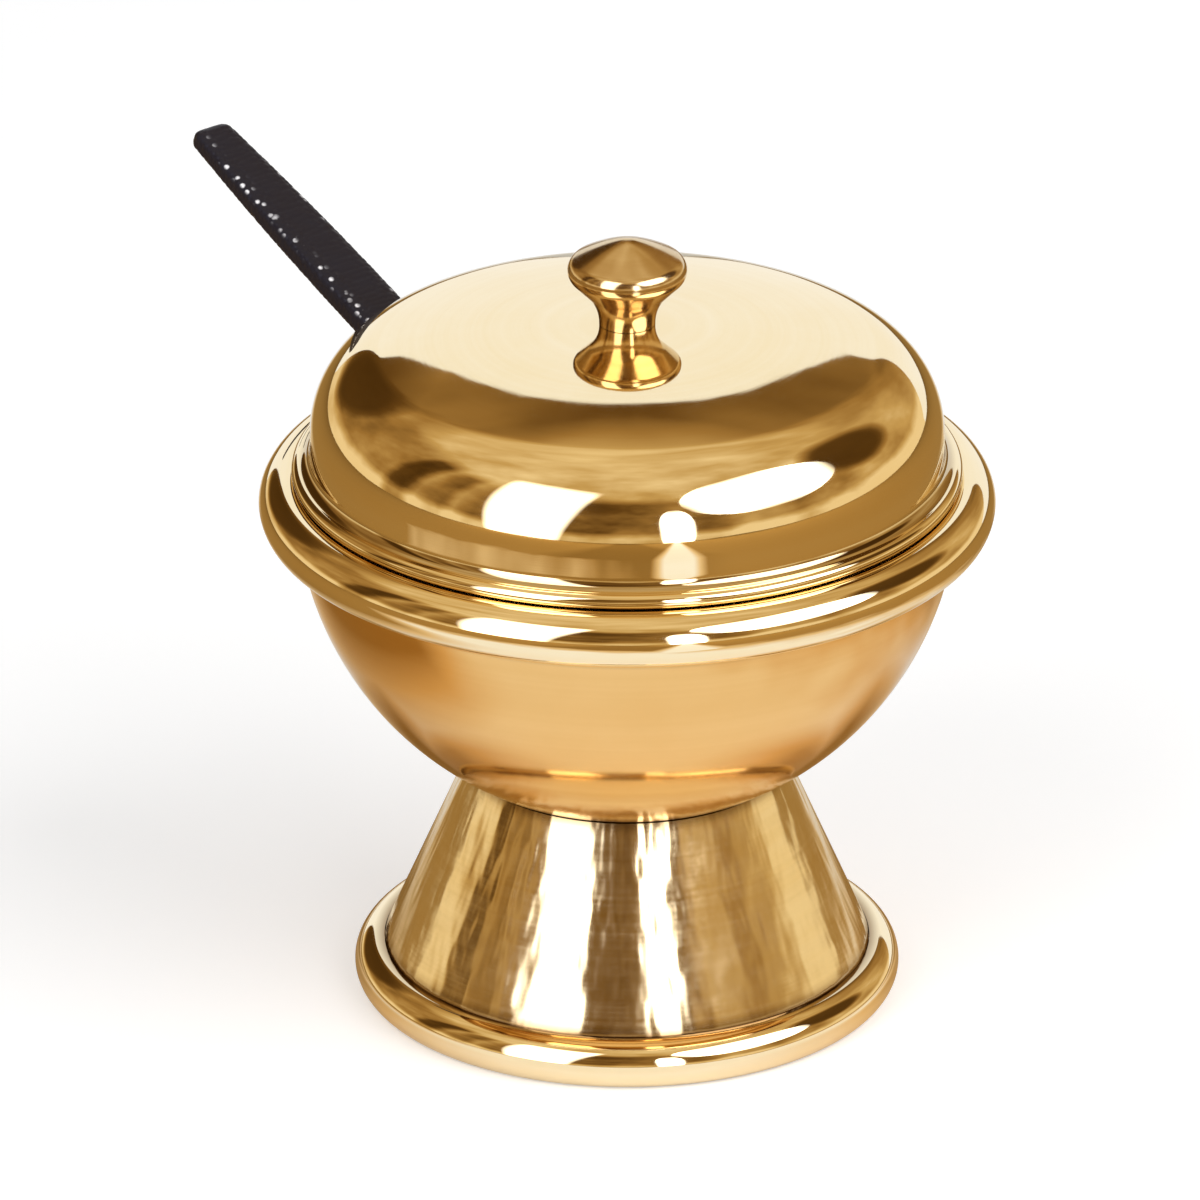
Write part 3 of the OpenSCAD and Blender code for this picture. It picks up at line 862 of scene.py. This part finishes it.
def add_window(name, shape, turn, rise, wide, high, level):
    """A soft flat lamp that faces the object, bright for its size by a level, fading out at its edges."""
    data = bpy.data.lights.new(name, "AREA")
    data.shape = shape
    data.size = wide
    data.size_y = high
    data.energy = LAMP_POWER * wide * high * level
    graph = Graph(data)
    on_lamp = graph.nodes.new("ShaderNodeNewGeometry").outputs["Parametric"]
    fade = 1.0
    for share in graph.split(on_lamp)[:2]:
        outwards = graph.size_of(graph.minus(share, 0.5))
        within = graph.times(graph.minus(0.5, outwards), WINDOW_EDGE, clamp=True)
        fade = graph.times(within, fade)
    graph.feed(graph.nodes["Emission"].inputs["Strength"], fade)
    lamp = bpy.data.objects.new(name, data)
    away = direction(turn, rise)
    lamp.location = VIEW_TARGET + away * LAMP_DISTANCE
    lamp.rotation_euler = away.to_track_quat("Z", "Y").to_euler()
    lamp.visible_camera = False
    bpy.context.scene.collection.objects.link(lamp)


def add_floor():
    """A plain pale floor that keeps the object's shadow and looks white to the camera.

    In the metal it is a round white card on a brown table, brown on its left, with painted shadow behind the
    foot and close round it, darker in front, with a painted strip of window light there, and white again far
    behind.
    """
    mesh = bpy.data.meshes.new("floor")
    corners = [(-FLOOR_SIDE, -FLOOR_FRONT, -FLOOR_DROP), (FLOOR_SIDE, -FLOOR_FRONT, -FLOOR_DROP),
               (FLOOR_SIDE, FLOOR_BACK, -FLOOR_DROP), (-FLOOR_SIDE, FLOOR_BACK, -FLOOR_DROP)]
    mesh.from_pydata(corners, [], [(0, 1, 2, 3)])
    floor = bpy.data.objects.new("floor", mesh)
    bpy.context.scene.collection.objects.link(floor)
    material = bpy.data.materials.new("pale_floor")
    mesh.materials.append(material)
    graph = Graph(material)
    shader = graph.nodes["Principled BSDF"]
    place = graph.place()
    x, y, _ = graph.split(place)

    def rising(value, fade):
        """0 up to the fade's start, then a straight rise to 1 over its length."""
        start, length = fade
        return graph.over(graph.minus(value, start), length, clamp=True)

    def falling(value, fade):
        """1 up to the fade's start, then a straight fall to 0 over its length."""
        return graph.minus(1.0, rising(value, fade))

    leftwards = graph.times(x, -1.0)
    forwards = graph.times(y, -1.0)
    from_foot = graph.away(x, y)
    from_card = graph.away(graph.minus(x, CARD_X), graph.minus(y, CARD_Y))
    ragged = graph.times(graph.noise(place, CARD_PATCHES, detail=2.0), CARD_RAGGED)
    left = graph.times(rising(leftwards, LEFT_SIDE), rising(y, LEFT_FROM_FRONT))
    beyond = rising(graph.plus(from_card, ragged), CARD_EDGE)
    # Painted shadow on the floor in the metal: behind the foot and close round it
    shaded = graph.times(falling(from_foot, SHADE_EDGE), rising(y, SHADE_FROM_FRONT))
    ring = graph.minus(CONTACT_SHADOW, rising(from_foot, RING_EDGE), clamp=True)
    shadow_round_foot = graph.times(ring, rising(y, RING_FROM_FRONT))
    table_and_shadow = graph.most(graph.most(left, beyond), graph.most(shaded, shadow_round_foot))

    middle = falling(graph.size_of(x), MIDDLE_EDGE)
    behind = graph.times(rising(y, BACK_EDGE), middle)
    # A painted strip of window light on the floor, in the metal
    aside = graph.plus(graph.times(x, math.cos(GLINT_TURN)), graph.times(y, math.sin(GLINT_TURN)))
    within = graph.minus(GLINT_HALF, graph.size_of(aside))
    strip = graph.times(rising(within, GLINT_EDGE), rising(forwards, GLINT_FRONT))
    white = graph.most(graph.most(behind, strip), graph.minus(1.0, table_and_shadow))

    in_metal = graph.ray("Is Glossy Ray")
    dark_front = graph.times(rising(forwards, DARK_FRONT), middle)
    depth = graph.plus(graph.times(dark_front, 1 - TABLE_SHARE), TABLE_SHARE)
    brown = graph.times(graph.times(graph.minus(1.0, white), in_metal), depth)
    graph.feed(shader.inputs["Base Color"], graph.ramp(brown, TABLE_AND_SHADOW_COLOURS))
    shader.inputs["Roughness"].default_value = 1.0
    shader.inputs["Specular IOR Level"].default_value = 0.0

    seen = graph.ray("Is Camera Ray", "Is Transmission Ray")
    card_glow = graph.times(graph.times(in_metal, white), CARD_GLOW)
    glow = graph.node("ShaderNodeEmission", strength=graph.plus(graph.times(seen, FLOOR_GLOW), card_glow))
    both = graph.nodes.new("ShaderNodeAddShader")
    graph.feed(both.inputs[0], shader.outputs[0])
    graph.feed(both.inputs[1], glow.outputs[0])
    graph.feed(graph.nodes["Material Output"].inputs["Surface"], both.outputs[0])


def add_world():
    """Even pale light all round. The camera sees white, and the metal a white arch behind in a brown room.

    The arch fills where (|x/y| / half)^3 + (z/y / top)^3 is under 1 on the far side, and its half width
    grows towards the floor, more on the right. The room's tone follows the turn round the upright, uneven
    by noise. It passes to one tone overhead, is lighter near the horizon and darkens at two doorways.
    """
    world = bpy.data.worlds.new("studio")
    bpy.context.scene.world = world
    graph = Graph(world)
    towards = graph.nodes.new("ShaderNodeTexCoord").outputs["Generated"]
    x, y, z = graph.split(towards)

    aside = graph.size_of(graph.over(x, y))
    aloft = graph.over(graph.most(z, 0.0), y)
    on_right = graph.times(graph.sum("GREATER_THAN", x, 0.0), FLARE_RIGHT - FLARE_LEFT)
    low_down = graph.minus(SCREEN_FLARE, aloft, clamp=True)
    half = graph.plus(graph.times(low_down, graph.plus(on_right, FLARE_LEFT)), SCREEN_HALF)
    aside_share = graph.sum("POWER", graph.over(aside, half), SCREEN_POWER)
    aloft_share = graph.sum("POWER", graph.over(aloft, SCREEN_TOP), SCREEN_POWER)
    filled = graph.plus(aside_share, aloft_share)
    inside = graph.times(graph.minus(1.0, filled), SCREEN_EDGE, clamp=True)
    screen = graph.times(inside, graph.sum("GREATER_THAN", y, 0.0))

    turn = graph.sum("ARCTAN2", x, graph.times(y, -1.0))
    turn_share = graph.plus(graph.over(turn, 2 * math.pi), 0.5)
    by_turn = graph.ramp(turn_share, [(0.5 + degrees / 360, grey(tone)) for degrees, tone in ROOM_TONES])
    overhead = graph.between(z, ZENITH_PLACES, (0.0, 1.0))
    with_zenith = graph.mix("FLOAT", overhead, by_turn, ZENITH_TONE)
    uneven = graph.times(graph.minus(graph.noise(towards, ROOM_PATCHES, detail=3.0), 0.5), ROOM_UNEVEN)
    horizon = graph.between(z, HORIZON_PLACES, (HORIZON_TONE, 0.0))
    tone = graph.plus(graph.plus(with_zenith, uneven), horizon)
    for doorway in DOORWAYS:
        facing = graph.nodes.new("ShaderNodeVectorMath")
        facing.operation = "DOT_PRODUCT"
        graph.feed(facing.inputs[0], towards)
        graph.feed(facing.inputs[1], direction(*doorway))
        shade = graph.between(facing.outputs["Value"], DOORWAY_PLACES, (1.0, 1.0 - DOORWAY_DARK))
        tone = graph.times(tone, shade)
    room = graph.ramp(tone, ROOM_COLOURS)

    plain = graph.nodes["Background"]
    plain.inputs["Color"].default_value = grey(1.0)
    plain.inputs["Strength"].default_value = LIGHT_LEVEL
    mirrored = graph.node("ShaderNodeBackground", color=graph.mix("RGBA", screen, room, grey(1.0)))
    white = graph.node("ShaderNodeBackground", color=grey(1.0))
    with_metal = graph.mix_shaders(graph.ray("Is Glossy Ray"), plain, mirrored)
    with_white = graph.mix_shaders(graph.ray("Is Camera Ray", "Is Transmission Ray"), with_metal, white)
    graph.feed(graph.nodes["World Output"].inputs["Surface"], with_white.outputs[0])


add_camera()
add_floor()
add_world()
for window in WINDOWS:
    add_window(*window)
bpy.context.scene.view_settings.view_transform = "Standard"
